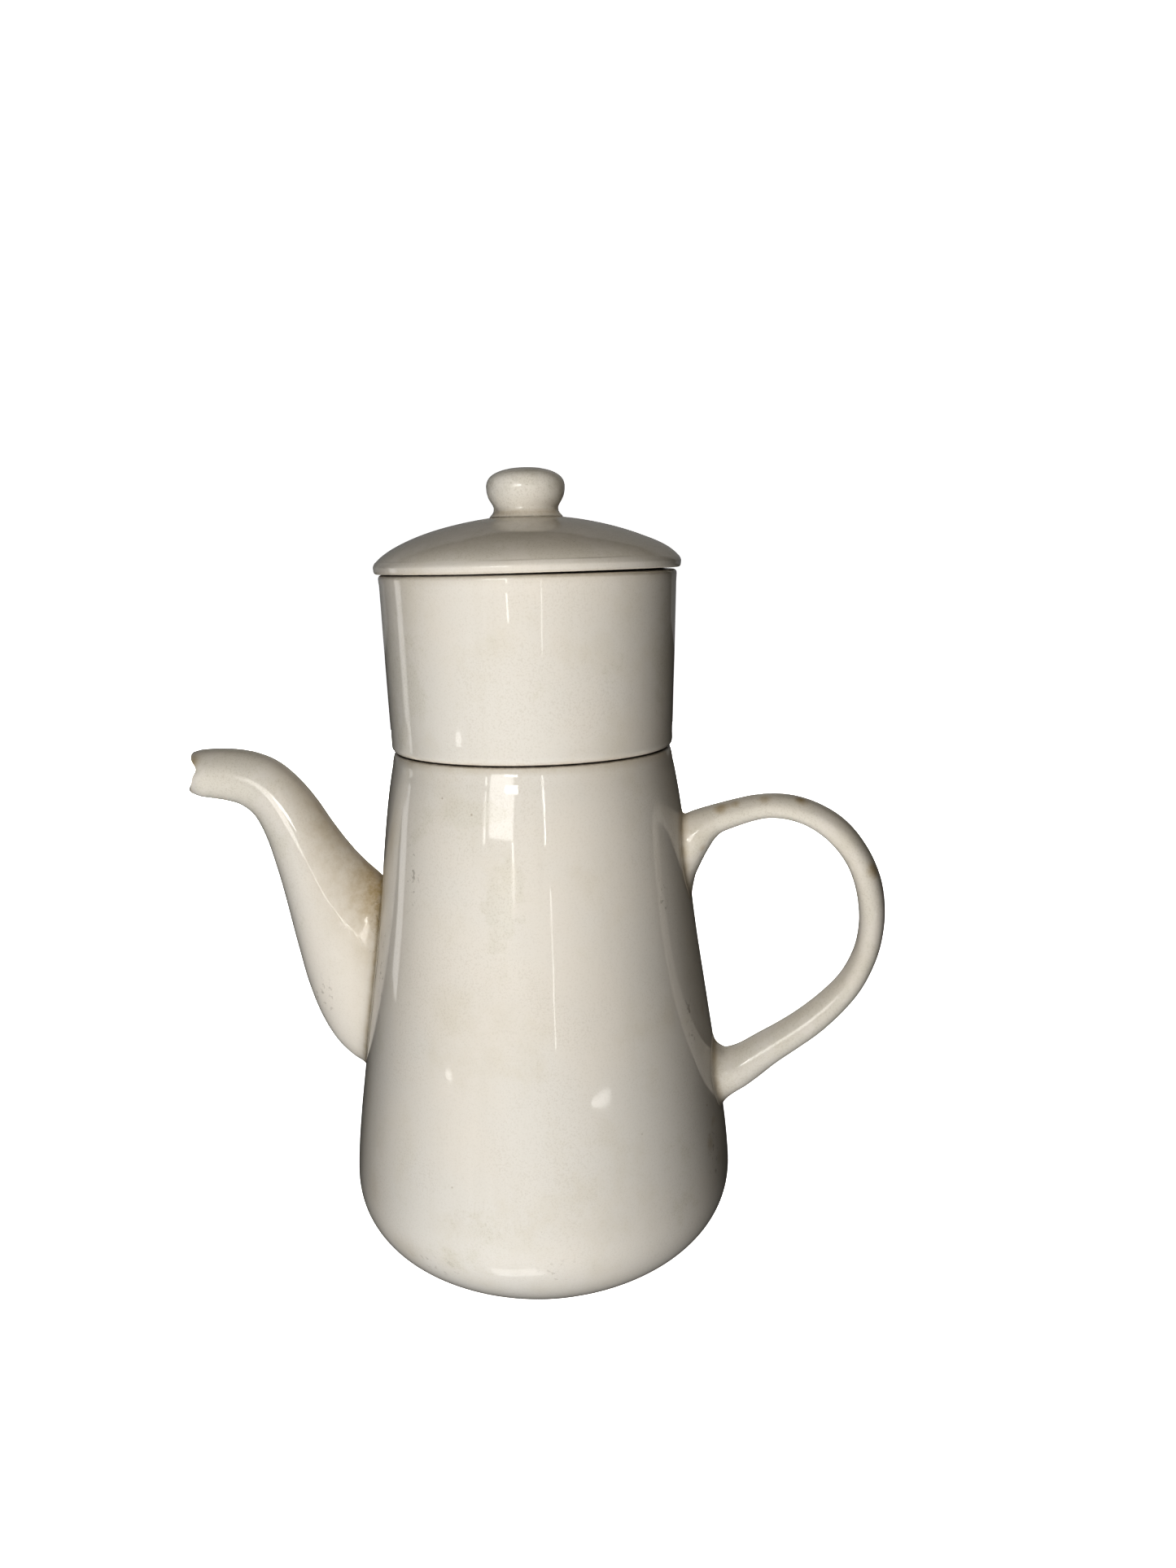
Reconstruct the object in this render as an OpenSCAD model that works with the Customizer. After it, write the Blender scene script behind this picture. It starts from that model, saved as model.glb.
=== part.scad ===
// Glazed ceramic drip coffee pot. Millimetres, +Z up, origin on the pot's axis at the table.
// The spout points along -X and the handle along +X.

/* [Pot] */
// Height of the pot's mouth above the table
pot_h = 187; // [170:1:205]
// Largest outside radius, low on the belly
belly_r = 67.4; // [60:0.2:75]
// Outside radius of the foot ring
foot_r = 38.5; // [34:0.5:45]
// Outside radius of the mouth
mouth_r = 47.9; // [46:0.1:52]
// Thickness of the pot's wall
pot_wall = 4.5; // [3.5:0.1:6]
// Depth of the recess inside the foot ring
foot_recess = 2.5; // [1:0.1:4]
// Diameter of each strainer hole behind the spout
strainer_d = 4.8; // [3:0.1:5]

/* [Spout] */
// Thickness of the spout's wall
spout_wall = 3.1; // [2.5:0.1:4]
// Half the width of the spout's root
spout_root_w = 15.7; // [13:0.1:18]
// How far the sides of the mouth are cut back from its two lips
spout_notch = 3.6; // [0:0.1:4]

/* [Handle] */
// Width of the grip, front to back
grip_w = 12.4; // [10:0.2:16]
// How far the spout and handle roots are bedded into the pot's wall
bed = 1.0; // [0.5:0.1:2]

/* [Filter chamber] */
// Outside radius at the chamber's foot
chamber_foot_r = 48.75; // [47:0.05:52]
// Outside radius at the chamber's top
chamber_top_r = 51; // [49:0.1:54]
// Height of the chamber above the pot's mouth
chamber_h = 60.3; // [50:0.1:75]
// Wall thickness of the chamber
chamber_wall = 4; // [3:0.1:5]
// Outside radius of the spigot that drops into the pot
spigot_r = 42.5; // [40:0.1:42.8]
// How far the spigot reaches below the pot's mouth
spigot_depth = 30; // [15:1:40]
// Diameter of the filter holes
filter_hole_d = 2; // [1:0.1:3]

/* [Spreader] */
// Radius of the perforated spreader plate
spreader_r = 43.6; // [41:0.1:44]
// Thickness of the spreader plate
spreader_t = 4; // [3:0.1:6]
// Diameter of the spreader holes
spreader_hole_d = 2.6; // [1.5:0.1:4]

/* [Lid] */
// Largest radius of the lid's rim
lid_r = 52.5; // [51.5:0.1:56]
// Height of the dome above the lid's rim
dome_h = 15.9; // [10:0.1:25]
// Thickness of the lid
lid_wall = 4; // [3:0.1:5]
// Outside radius of the locating flange
flange_r = 46.2; // [44:0.1:46.6]
// Largest radius of the lid's knob
knob_r = 13.35; // [10:0.05:18]
// Height of the knob above the dome
knob_h = 16.7; // [12:0.1:25]

/* [Hidden] */
gap = 0.2;
seat_z = pot_h + gap;
chamber_top_z = seat_z + chamber_h;
lid_z = chamber_top_z + gap;
floor_z = foot_recess + pot_wall;
spigot_z = pot_h - spigot_depth;
shoulder_z = seat_z + 4.3;
spreader_z = shoulder_z + gap;
rim_z = lid_z + 2.1;
dome_z = rim_z + dome_h;
strainer_z = 84;
strainer_rows = 6;
strainer_pitch = 8;
strainer_half = 10;
clay = [0.93, 0.89, 0.80];
around = 32;

// ---- curves ----

// point on a cubic curve
function cubic(p, t) = pow(1 - t, 3) * p[0] + 3 * pow(1 - t, 2) * t * p[1]
    + 3 * (1 - t) * t * t * p[2] + pow(t, 3) * p[3];

// direction of a cubic curve
function slope(p, t) = 3 * pow(1 - t, 2) * (p[1] - p[0])
    + 6 * (1 - t) * t * (p[2] - p[1]) + 3 * t * t * (p[3] - p[2]);

function unit(v) = v / norm(v);

// n + 1 points on a cubic, set back from the outside by d
function inset_curve(p, n, d) = [
    for (i = [0 : n]) let (t = i / n, s = unit(slope(p, t)))
        cubic(p, t) - d * [s[1], -s[0]]
];

function reversed(list) = [for (i = [len(list) - 1 : -1 : 0]) list[i]];

function after_first(list) = [for (i = [1 : len(list) - 1]) list[i]];

// Catmull-Rom through a list of rings, point by point
function between(a, b, c, d, t) = [
    for (i = [0 : len(b) - 1])
        0.5 * (2 * b[i] + (c[i] - a[i]) * t
            + (2 * a[i] - 5 * b[i] + 4 * c[i] - d[i]) * t * t
            + (3 * b[i] - a[i] - 3 * c[i] + d[i]) * t * t * t)
];

function smooth(keys, sub) = concat([
    for (i = [0 : len(keys) - 2], j = [0 : sub - 1])
        between(keys[max(i - 1, 0)], keys[i], keys[i + 1],
                keys[min(i + 2, len(keys) - 1)], j / sub)
], [keys[len(keys) - 1]]);

function flat(lists) = [for (list = lists, item = list) item];

// ---- pot ----

belly = [[foot_r, 0], [foot_r + 13.8, 6.4], [belly_r, 16.5], [belly_r, 35]];
waist = [[belly_r, 35], [belly_r, 50], [60.9, 90], [57.4, 115]];
neck = [[57.4, 115], [53.9, 140], [mouth_r + 4.9, pot_h - 19.6], [mouth_r, pot_h]];

function pot_skin(d) = concat(inset_curve(belly, 12, d),
    after_first(inset_curve(waist, 7, d)), after_first(inset_curve(neck, 8, d)));

pot_outside = pot_skin(0);

// outside radius of the pot at height z
function pot_r(z) = lookup(z, [for (p = pot_outside) [p[1], p[0]]]);

module pot_body() {
    outer = [for (p = pot_outside) if (p[1] > 0 && p[1] < pot_h - 1) p];
    inner = [for (p = pot_skin(pot_wall)) if (p[1] > floor_z + 0.6 && p[1] < pot_h - 1) p];
    color(clay) difference() {
        rotate_extrude() polygon(concat(
            [[0, foot_recess], [foot_r - 5.4, foot_recess], [foot_r - 4.6, 0.5],
             [foot_r - 4, 0], [foot_r - 0.3, 0]],
            outer,
            [[mouth_r, pot_h - 1], [mouth_r - 0.3, pot_h - 0.3], [mouth_r - 1, pot_h],
             [mouth_r - pot_wall + 0.5, pot_h], [mouth_r - pot_wall, pot_h - 0.5]],
            reversed(inner),
            [[0, floor_z]]
        ));
        for (row = [0 : strainer_rows - 1], k = [-2 : 2]) {
            y = (k + (row % 2) / 2) * strainer_pitch;
            if (abs(y) < strainer_half)
                translate([-48, y, strainer_z + row * strainer_pitch]) rotate([0, -90, 0])
                    cylinder(d = strainer_d, h = 22);
        }
    }
}

// ---- spout ----

// upper edge x, z; lower edge x, z; half width
spout_keys = [
    [-56.2, 139.4, -69.5, 72.0, 14.9], [-58.8, 141.8, -75.8, 78.3, 14.6],
    [-62.3, 144.9, -81.2, 88.0, 14.3], [-66.5, 149.2, -85.3, 100, 13.8],
    [-70.8, 154.5, -88.3, 113, 13.1], [-75.4, 160.8, -91.2, 127, 12.3],
    [-80.5, 168.4, -94.2, 140.3, 11.4], [-86.2, 175.3, -97.6, 152.5, 10.6],
    [-92.5, 181.0, -101.8, 161.4, 10.0], [-99.5, 184.4, -107, 165.8, 9.6],
    [-107, 186.1, -112.5, 167.5, 9.2], [-114.5, 186.5, -118, 168.3, 9.0],
    [-121.5, 186.1, -122.5, 168.9, 8.8], [-124.7, 185.3, -126.0, 170.2, 8.2]
];
spout_crest = [-125.4, 184.0, -126.9, 171.6, 7.2];

// an oval ring on the pot's own surface, bedded into its wall
function root_ring(side, zc, h, w, n) = [
    for (i = [0 : n - 1]) let (a = 360 * i / n, y = w * sin(a), z = zc + h * cos(a))
        [side * sqrt(pow(pot_r(z) - bed, 2) - y * y), y, z]
];

// an oval ring between two edges, set in by d, with its sides pushed along X by notch,
// most of all under the upper lip
function edge_ring(k, d, notch, n) = let (
        top = [k[0], 0, k[1]], low = [k[2], 0, k[3]],
        c = (top + low) / 2, h = norm(top - low) / 2 - d, up = unit(top - low)
    ) [
        for (i = [0 : n - 1]) let (a = 360 * i / n)
            c + up * h * cos(a)
                + [notch * (pow(sin(a), 2) + 0.55 * exp(-pow((cos(a) - 0.3) / 0.28, 2))),
                   (k[4] - d) * sin(a), 0]
    ];

function notch_at(i) = i < len(spout_keys) - 3 ? 0
    : spout_notch * (i - len(spout_keys) + 4) / 4;

function spout_side(d) = smooth(concat(
    [root_ring(-1, 103.8, 34.8 - d, spout_root_w - d, around)],
    [for (i = [0 : len(spout_keys) - 1]) edge_ring(spout_keys[i], d, notch_at(i), around)]
), 2);

module spout() {
    rings = concat(spout_side(0), [edge_ring(spout_crest, 0, spout_notch, around)],
                   reversed(spout_side(spout_wall)));
    n = len(rings);
    color(clay) polyhedron(points = flat(rings), faces = flat([
        for (i = [0 : n - 1], j = [0 : around - 1]) let (
            a = i * around + j, b = i * around + (j + 1) % around,
            c = ((i + 1) % n) * around + (j + 1) % around, d = ((i + 1) % n) * around + j
        ) [[a, b, c], [a, c, d]]
    ]), convexity = 6);
}

// ---- handle ----

// upper edge x, z; lower edge x, z; half width
upper_root = [
    [53.4, 163.4, 56.4, 141.2, 8.3], [55.6, 164.3, 58.8, 146.6, 8.0],
    [58.3, 165.2, 61.3, 151.3, 7.5], [61.4, 166.1, 63.8, 155.0, 7.0]
];
// x, z, thickness, width as a share of grip_w
handle_keys = [
    [66.0, 162.3, 9.8, 1.06], [77.8, 165.7, 8.9, 1], [86.4, 166.1, 8.8, 1],
    [94.6, 164.2, 9.1, 1], [101.8, 160.3, 9.5, 1], [107.8, 154.8, 9.5, 1],
    [112.6, 147.8, 9.3, 1], [115.8, 139.6, 9.3, 1], [117.2, 130.8, 9.2, 1],
    [116.9, 122.6, 8.9, 1], [115.0, 114.0, 9.0, 1], [110.8, 105.0, 9.4, 1],
    [104.9, 97.4, 10.2, 1.02], [97.4, 90.4, 10.8, 1.05], [89.2, 84.4, 11.4, 1.1],
    [81.2, 78.8, 12.4, 1.2], [74.4, 73.8, 13.8, 1.34], [69.4, 71.2, 15.6, 1.46]
];

function handle_ring(i, n) = let (
        k = handle_keys[i],
        last = len(handle_keys) - 1,
        p = handle_keys[max(i - 1, 0)], q = handle_keys[min(i + 1, last)],
        run = unit([q[0] - p[0], 0, q[1] - p[1]]),
        out = [-run[2], 0, run[0]]
    ) [
        for (j = [0 : n - 1]) let (a = 360 * j / n)
            [k[0], 0, k[1]] + out * cos(a) * k[2] / 2 + [0, sin(a) * k[3] * grip_w / 2, 0]
    ];

// the lower root is met from outside, so its ring starts at the bottom
function flipped(ring) = let (n = len(ring)) [for (i = [0 : n - 1]) ring[(n / 2 - i + n) % n]];

module handle() {
    m = 24;
    rings = smooth(concat(
        [root_ring(1, 149.2, 13.8, 8.6, m)],
        [for (k = upper_root) edge_ring(k, 0, 0, m)],
        [for (i = [0 : len(handle_keys) - 1]) handle_ring(i, m)],
        [flipped(root_ring(1, 69.8, 9.9, 9.7, m))]
    ), 2);
    n = len(rings);
    ends = [[pot_r(149.2) - bed, 0, 149.2], [pot_r(69.8) - bed, 0, 69.8]];
    color(clay) polyhedron(points = concat(flat(rings), ends), faces = concat(
        flat([
            for (i = [0 : n - 2], j = [0 : m - 1]) let (
                a = i * m + j, b = i * m + (j + 1) % m,
                c = (i + 1) * m + (j + 1) % m, d = (i + 1) * m + j
            ) [[a, c, b], [a, d, c]]
        ]),
        [for (j = [0 : m - 1]) [n * m, j, (j + 1) % m]],
        [for (j = [0 : m - 1]) [n * m + 1, (n - 1) * m + (j + 1) % m, (n - 1) * m + j]]
    ), convexity = 6);
}

// ---- filter chamber ----

module filter_chamber() {
    inner_foot = chamber_foot_r - chamber_wall;
    inner_top = chamber_top_r - chamber_wall;
    bore = spigot_r - chamber_wall;
    color(clay) rotate_extrude() polygon([
        [bore - 2.2, spigot_z], [spigot_r - 0.8, spigot_z], [spigot_r, spigot_z + 0.8],
        [spigot_r, seat_z], [chamber_foot_r - 1.6, seat_z],
        [chamber_foot_r - 0.7, seat_z + 0.4], [chamber_foot_r - 0.15, seat_z + 1.3],
        [chamber_foot_r + 0.05, seat_z + 2.6],
        [chamber_top_r, chamber_top_z - 1.4], [chamber_top_r - 0.3, chamber_top_z - 0.4],
        [chamber_top_r - 1, chamber_top_z], [inner_top + 0.9, chamber_top_z],
        [inner_top + 0.2, chamber_top_z - 0.4], [inner_top, chamber_top_z - 1.2],
        [inner_foot, shoulder_z + 1], [inner_foot - 0.3, shoulder_z + 0.3],
        [inner_foot - 1, shoulder_z], [bore + 0.8, shoulder_z], [bore, shoulder_z - 0.8],
        [bore, spigot_z + 2], [bore - 2.2, spigot_z + 2]
    ]);
}

module filter_floor() {
    r = spigot_r - chamber_wall - 0.1;
    color(clay) translate([0, 0, spigot_z + 2]) difference() {
        cylinder(r = r, h = 3.6, $fn = 96);
        for (ring = [0 : 5]) for (k = [0 : max(6 * ring, 1) - 1])
            rotate([0, 0, k * 60 / max(ring, 1)]) translate([ring * 5.9, 0, -1])
                cylinder(d = filter_hole_d, h = 6, $fn = 24);
    }
}

// ---- spreader ----

module water_spreader() {
    color(clay) translate([0, 0, spreader_z]) difference() {
        rotate_extrude() polygon([
            [0, 0], [spreader_r - 0.8, 0], [spreader_r, 0.8],
            [spreader_r, spreader_t - 0.8], [spreader_r - 0.8, spreader_t], [0, spreader_t]
        ]);
        for (ring = [2 : 5]) for (k = [0 : 6 * ring - 1])
            rotate([0, 0, k * 60 / ring]) translate([ring * 7.6, 0, -1])
                cylinder(d = spreader_hole_d, h = spreader_t + 2, $fn = 24);
    }
}

module spreader_knob() {
    top = 17.5;
    color(clay) translate([0, 0, spreader_z + spreader_t - 0.5]) rotate_extrude()
        polygon(concat(
            [[0, 0], [8.2, 0], [8.4, 0.7], [7.6, 1.3]],
            inset_curve([[6.1, 2.4], [5.4, 6], [9, 8], [9, 11.5]], 6, 0),
            after_first(inset_curve([[9, 11.5], [9, 15], [6, top], [0, top]], 7, 0))
        ));
}

// ---- lid ----

dome = [[lid_r, rim_z], [lid_r, rim_z + 3.5], [lid_r - 12.5, dome_z - 3.6], [12.7, dome_z]];

module lid() {
    flange_z = lid_z - 7.6;
    inside = flange_r - 3.8;
    under = [for (p = inset_curve(dome, 14, lid_wall)) if (p[0] < inside - 0.5) p];
    color(clay) rotate_extrude() polygon(concat(
        [[inside, flange_z + 0.8], [inside + 0.8, flange_z], [flange_r - 0.8, flange_z],
         [flange_r, flange_z + 0.8], [flange_r, lid_z], [lid_r - 1.3, lid_z],
         [lid_r - 0.4, lid_z + 0.7]],
        inset_curve(dome, 14, 0),
        [[0, dome_z], [0, dome_z - lid_wall]],
        reversed(under),
        [[inside, under[0][1] - 1.2]]
    ));
}

module lid_knob() {
    z = dome_z - 0.5;
    top = dome_z + knob_h;
    color(clay) rotate_extrude() polygon(concat(
        [[0, z], [12.7, z], [12.5, z + 0.8], [11.9, z + 1.5], [11.3, z + 2.3]],
        inset_curve([[knob_r - 2.4, z + 3.4], [knob_r - 2.4, z + 5.6],
                     [knob_r, z + 6.2], [knob_r, z + 10.8]], 8, 0),
        after_first(inset_curve([[knob_r, z + 10.8], [knob_r, top - 2.7],
                                 [knob_r - 3.55, top], [0, top]], 10, 0))
    ));
}

pot_body();
spout();
handle();
filter_chamber();
filter_floor();
water_spreader();
spreader_knob();
lid();
lid_knob();
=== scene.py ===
"""Looks for the glazed ceramic drip coffee pot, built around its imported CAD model.

Lengths are in millimetres in the part's frame (+Z up, spout along -X, handle along +X) until
make_mesh turns them into metres. The stage, from the floor on, is in metres.
"""
import math

import bpy
import numpy as np
from mathutils import Matrix, Vector, noise

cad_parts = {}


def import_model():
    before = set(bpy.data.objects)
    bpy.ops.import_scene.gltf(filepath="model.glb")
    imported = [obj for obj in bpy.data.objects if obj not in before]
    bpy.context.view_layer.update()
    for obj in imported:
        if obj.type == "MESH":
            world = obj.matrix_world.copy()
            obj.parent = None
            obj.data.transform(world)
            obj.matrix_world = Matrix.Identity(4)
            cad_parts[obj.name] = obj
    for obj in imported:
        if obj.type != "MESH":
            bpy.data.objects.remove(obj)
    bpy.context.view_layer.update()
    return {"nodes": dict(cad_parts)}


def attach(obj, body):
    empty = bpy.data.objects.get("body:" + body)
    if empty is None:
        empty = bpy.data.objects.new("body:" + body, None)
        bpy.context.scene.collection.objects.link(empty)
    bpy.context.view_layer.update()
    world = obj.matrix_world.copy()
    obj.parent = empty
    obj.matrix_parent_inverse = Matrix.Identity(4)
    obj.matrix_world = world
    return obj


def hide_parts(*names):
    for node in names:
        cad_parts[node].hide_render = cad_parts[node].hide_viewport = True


MM = 0.001

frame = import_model()


# ---------------------------------------------------------------- shapes shared with the CAD

POT_H, BELLY_R, FOOT_R, MOUTH_R, POT_WALL = 187.0, 67.4, 38.5, 47.9, 4.5
FOOT_RECESS, FOOT_RING_W = 2.5, 4.4
SPOUT_WALL, SPOUT_NOTCH = 3.1, 3.6
GRIP_W = 12.4
CHAMBER_FOOT_R, CHAMBER_TOP_R, CHAMBER_WALL, CHAMBER_H = 48.75, 51.0, 4.0, 60.3
SPIGOT_R, SPIGOT_DEPTH = 42.5, 30.0
LID_R, DOME_H, LID_WALL, FLANGE_R = 52.5, 15.9, 4.0, 46.2
KNOB_R, KNOB_H = 13.35, 16.7
SPREADER_KNOB_R, SPREADER_KNOB_H = 9.0, 17.0
STRAINER_ROWS, STRAINER_PITCH, STRAINER_R = 6, 8.0, 2.4
STRAINER_Z, STRAINER_HALF_W = 84.0, 10.0
# how deep the luted pieces are bedded, and the gap between loose ones
KNOB_BED, GAP = 0.5, 0.2
SEAT_Z = POT_H + GAP
CHAMBER_TOP_Z = SEAT_Z + CHAMBER_H
LID_Z = CHAMBER_TOP_Z + GAP
SHOULDER_Z = SEAT_Z + 4.3
RIM_Z = LID_Z + 2.1
DOME_Z = RIM_Z + DOME_H
SPREADER_TOP_Z = SHOULDER_Z + GAP + 4.0

# the side that faces the camera, in degrees round from +X: the handle points a little forward
CAMERA_SIDE = -79.7

BELLY = [(FOOT_R, 0), (FOOT_R + 13.8, 6.4), (BELLY_R, 16.5), (BELLY_R, 35)]
WAIST = [(BELLY_R, 35), (BELLY_R, 50), (60.9, 90), (57.4, 115)]
NECK = [(57.4, 115), (53.9, 140), (MOUTH_R + 4.9, POT_H - 19.6), (MOUTH_R, POT_H)]


def cubic(p, n, inset=0.0):
    """n + 1 points on a cubic, set back from its outside by inset."""
    p = np.array(p, float)
    t = np.linspace(0, 1, n + 1)[:, None]
    s = 1 - t
    at = s**3 * p[0] + 3 * s * s * t * p[1] + 3 * s * t * t * p[2] + t**3 * p[3]
    d = s * s * (p[1] - p[0]) + 2 * s * t * (p[2] - p[1]) + t * t * (p[3] - p[2])
    d /= np.linalg.norm(d, axis=1)[:, None]
    return at - inset * np.c_[d[:, 1], -d[:, 0]]


def pot_skin(inset=0.0, dense=1):
    """The pot's side from foot to mouth, as (r, z), set back by inset."""
    return np.vstack([
        cubic(BELLY, 24 * dense, inset),
        cubic(WAIST, 20 * dense, inset)[1:],
        cubic(NECK, 20 * dense, inset)[1:],
    ])


SKIN = pot_skin()


def pot_r(z):
    """The pot's outside radius at height z."""
    return np.interp(z, SKIN[:, 1], SKIN[:, 0])


# ---------------------------------------------------------------- mesh tools

TINY = 1e-6


def wobble(p, size, scale, seed):
    """A slow wave at each point, for the small unevenness of hand-finished ware."""
    off = Vector((seed * 3.1, seed * 1.7, seed * 2.3))
    return np.array([noise.noise(Vector(q) * scale + off) for q in p]) * size


def make_mesh(name, points, faces, body, nodes, material, marks):
    """A smooth-shaded piece in metres that rides on a body and stands for CAD nodes."""
    mesh = bpy.data.meshes.new(name)
    mesh.from_pydata((np.asarray(points) * MM).tolist(), [], faces)
    mesh.validate()
    mesh.polygons.foreach_set("use_smooth", [True] * len(mesh.polygons))
    for mark, values in marks.items():
        layer = mesh.attributes.new(mark, "FLOAT", "POINT")
        layer.data.foreach_set("value", np.asarray(values, np.float32))
    mesh.materials.append(material)
    obj = bpy.data.objects.new(name, mesh)
    bpy.context.scene.collection.objects.link(obj)
    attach(obj, body)
    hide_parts(*nodes)
    return obj


def grid_faces(n_rings, n_around, loop=False, flip=False):
    """Quads between rings of points; loop joins the last ring to the first."""
    faces = []
    for i in range(n_rings if loop else n_rings - 1):
        a, b = i * n_around, ((i + 1) % n_rings) * n_around
        for j in range(n_around):
            k = (j + 1) % n_around
            face = (a + j, a + k, b + k, b + j)
            faces.append(face[::-1] if flip else face)
    return faces


def rounded(corners):
    """A profile through corners (r, z, radius), each rounded by its own radius."""
    out = []
    n = len(corners)
    for i, (r, z, radius) in enumerate(corners):
        p = np.array([r, z], float)
        if radius <= 0:
            out.append(p)
            continue
        a = np.array(corners[i - 1][:2], float) - p
        b = np.array(corners[(i + 1) % n][:2], float) - p
        la, lb = np.linalg.norm(a), np.linalg.norm(b)
        cut = min(radius, 0.49 * la, 0.49 * lb)
        start, end = p + a / la * cut, p + b / lb * cut
        for t in np.linspace(0, 1, 7):
            out.append((1 - t) ** 2 * start + 2 * t * (1 - t) * p + t * t * end)
    return np.array(out)


def even(profile, step):
    """The profile with long straight runs cut into steps, so that marks on it stay smooth."""
    out = [profile[0]]
    for p in profile[1:]:
        n = max(1, int(np.linalg.norm(p - out[-1]) / step))
        a = out[-1]
        for k in range(1, n + 1):
            out.append(a + (p - a) * k / n)
    return np.array(out)


def revolve(profile, around):
    """Points and quads of a closed profile turned about Z. Ends on the axis are closed by fans."""
    ang = np.linspace(0, 2 * math.pi, around, endpoint=False)
    on_axis = [profile[0][0] < TINY, profile[-1][0] < TINY]
    body = profile[(1 if on_axis[0] else 0):(len(profile) - 1 if on_axis[1] else len(profile))]
    pts = np.array([(r * math.cos(a), r * math.sin(a), z) for r, z in body for a in ang])
    faces = grid_faces(len(body), around, loop=not any(on_axis))
    extra = []
    for k, end in enumerate(on_axis):
        if not end:
            continue
        tip = len(pts) + len(extra)
        extra.append((0, 0, profile[0][1] if k == 0 else profile[-1][1]))
        row = 0 if k == 0 else (len(body) - 1) * around
        for j in range(around):
            a, b = row + j, row + (j + 1) % around
            faces.append((tip, b, a) if k == 0 else (tip, a, b))
    if extra:
        pts = np.vstack([pts, np.array(extra)])
    return pts, faces


def falloff(d, reach):
    """1 at distance 0, falling smoothly to 0 at reach."""
    t = np.clip(1 - np.asarray(d) / reach, 0, 1)
    return t * t * (3 - 2 * t)


def near_line(pts, line):
    """Each point's distance to the nearest point of a line."""
    return np.min(np.linalg.norm(pts[:, None, :] - line[None], axis=2), axis=1)


def ring_centres(rings):
    """The middle of its own ring, for every point of the rings."""
    return np.repeat(np.array([ring.mean(0) for ring in rings]), len(rings[0]), axis=0)


def push_out(pts, centres, amount):
    """The points moved away from their centres by amount."""
    away = pts - centres
    away /= np.maximum(np.linalg.norm(away, axis=1), TINY)[:, None]
    return pts + away * amount[:, None]


def swell(pts, amount):
    """Moves the points away from Z by amount, in place."""
    pts[:, :2] *= (1 + amount / np.maximum(np.hypot(pts[:, 0], pts[:, 1]), 1))[:, None]


# ---------------------------------------------------------------- marks painted by place


def patches(pts, spots):
    """Soft patches, each (degrees from the camera's side, z, half width, half height, strength)."""
    around = np.degrees(np.arctan2(pts[:, 1], pts[:, 0])) - CAMERA_SIDE
    radius = np.hypot(pts[:, 0], pts[:, 1])
    total = np.zeros(len(pts))
    for side, z, half_w, half_h, strength in spots:
        turn = np.radians((around - side + 180) % 360 - 180)
        d = np.hypot(radius * turn / half_w, (pts[:, 2] - z) / half_h)
        total = np.maximum(total, strength * falloff(d, 1.3))
    return total


def dabs(pts, spots):
    """Round spots, each (x, y, z, reach, strength)."""
    total = np.zeros(len(pts))
    for x, y, z, reach, strength in spots:
        d = np.linalg.norm(pts - np.array([x, y, z]), axis=1)
        total = np.maximum(total, strength * falloff(d, reach))
    return total


POT_STAINS = (
    (60, 52, 3, 3, 0.40), (64, 58, 2, 2, 0.35), (66, 44, 2, 2, 0.30), (-46, 24, 9, 6, 0.16),
    (-62, 40, 6, 9, 0.14), (70, 96, 2, 3, 0.25), (-68, 158, 4, 9, 0.20), (100, 30, 8, 5, 0.2),
    (170, 150, 3, 3, 0.35), (-150, 90, 3, 3, 0.3),
)
POT_SAND = (
    (-12, 141, 9, 26, 0.9), (-24, 172, 30, 6, 0.7), (-47, 165, 10, 14, 0.45),
    (-26, 35, 22, 18, 0.6), (46, 45, 15, 25, 0.6), (150, 120, 30, 40, 0.7),
    (-120, 60, 30, 30, 0.7), (95, 140, 18, 30, 0.8),
)
POT_FLECKS = (
    (58, 95, 3, 12, 0.45), (50, 140, 3, 8, 0.4), (62, 48, 5, 12, 0.4), (-35, 22, 12, 6, 0.25),
    (5, 24, 12, 6, 0.2), (-70, 110, 3, 20, 0.5), (-50, 150, 5, 14, 0.35),
    (140, 80, 12, 20, 0.3), (-150, 40, 12, 14, 0.3),
)
CHAMBER_SAND = (
    (31, 216, 14, 12, 0.5), (0, 213, 15, 9, 0.4), (45, 195, 9, 8, 0.5), (-13, 227, 8, 8, 0.35),
    (-60, 216, 20, 32, 0.8), (64, 214, 12, 34, 0.7), (160, 220, 25, 16, 0.8),
    (-110, 205, 20, 12, 0.8),
)
HANDLE_SAND, LID_SAND = 0.6, 0.62
# small brown burns on the handle's crown and outer bend, and the brown upper lip of the spout
HANDLE_BURNS = (
    (65.5, -4, 166, 3.6, 1.0), (70.5, -3.5, 167, 2.6, 0.9), (80.6, -3.8, 169, 2.8, 0.8),
    (93, -3.2, 168.8, 3.2, 1.0), (117.4, -4.5, 144.8, 4.0, 1.0), (84, 3.5, 170, 2.4, 0.6),
    (118.6, 3.0, 120, 2.2, 0.5), (60, -7.0, 152, 2.5, 0.6),
)
SPOUT_LIP_BROWN = ((-123.6, -5.0, 181.8, 5.5, 1.0),)
# grey dirt left of and behind the knob's foot: (angle from +X in radians, r, reach, strength)
LID_FLECKS = (
    (3.5, 18, 5, 0.9), (3.25, 25, 6, 0.9), (2.9, 20, 5, 0.6), (3.9, 20, 3, 0.5),
    (-0.5, 18, 4, 0.7), (-1.1, 44, 4, 0.5),
)


# ---------------------------------------------------------------- glaze

# PALE_CREAM_AND_PAINTED_LIGHT is the knob's glaze: partly its own whiter tone, partly painted
# light, lighter to make up for light the knob gets too little of
CREAM, PALE_CREAM_AND_PAINTED_LIGHT = (0.795, 0.762, 0.711), (0.95, 0.925, 0.875)
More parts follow.
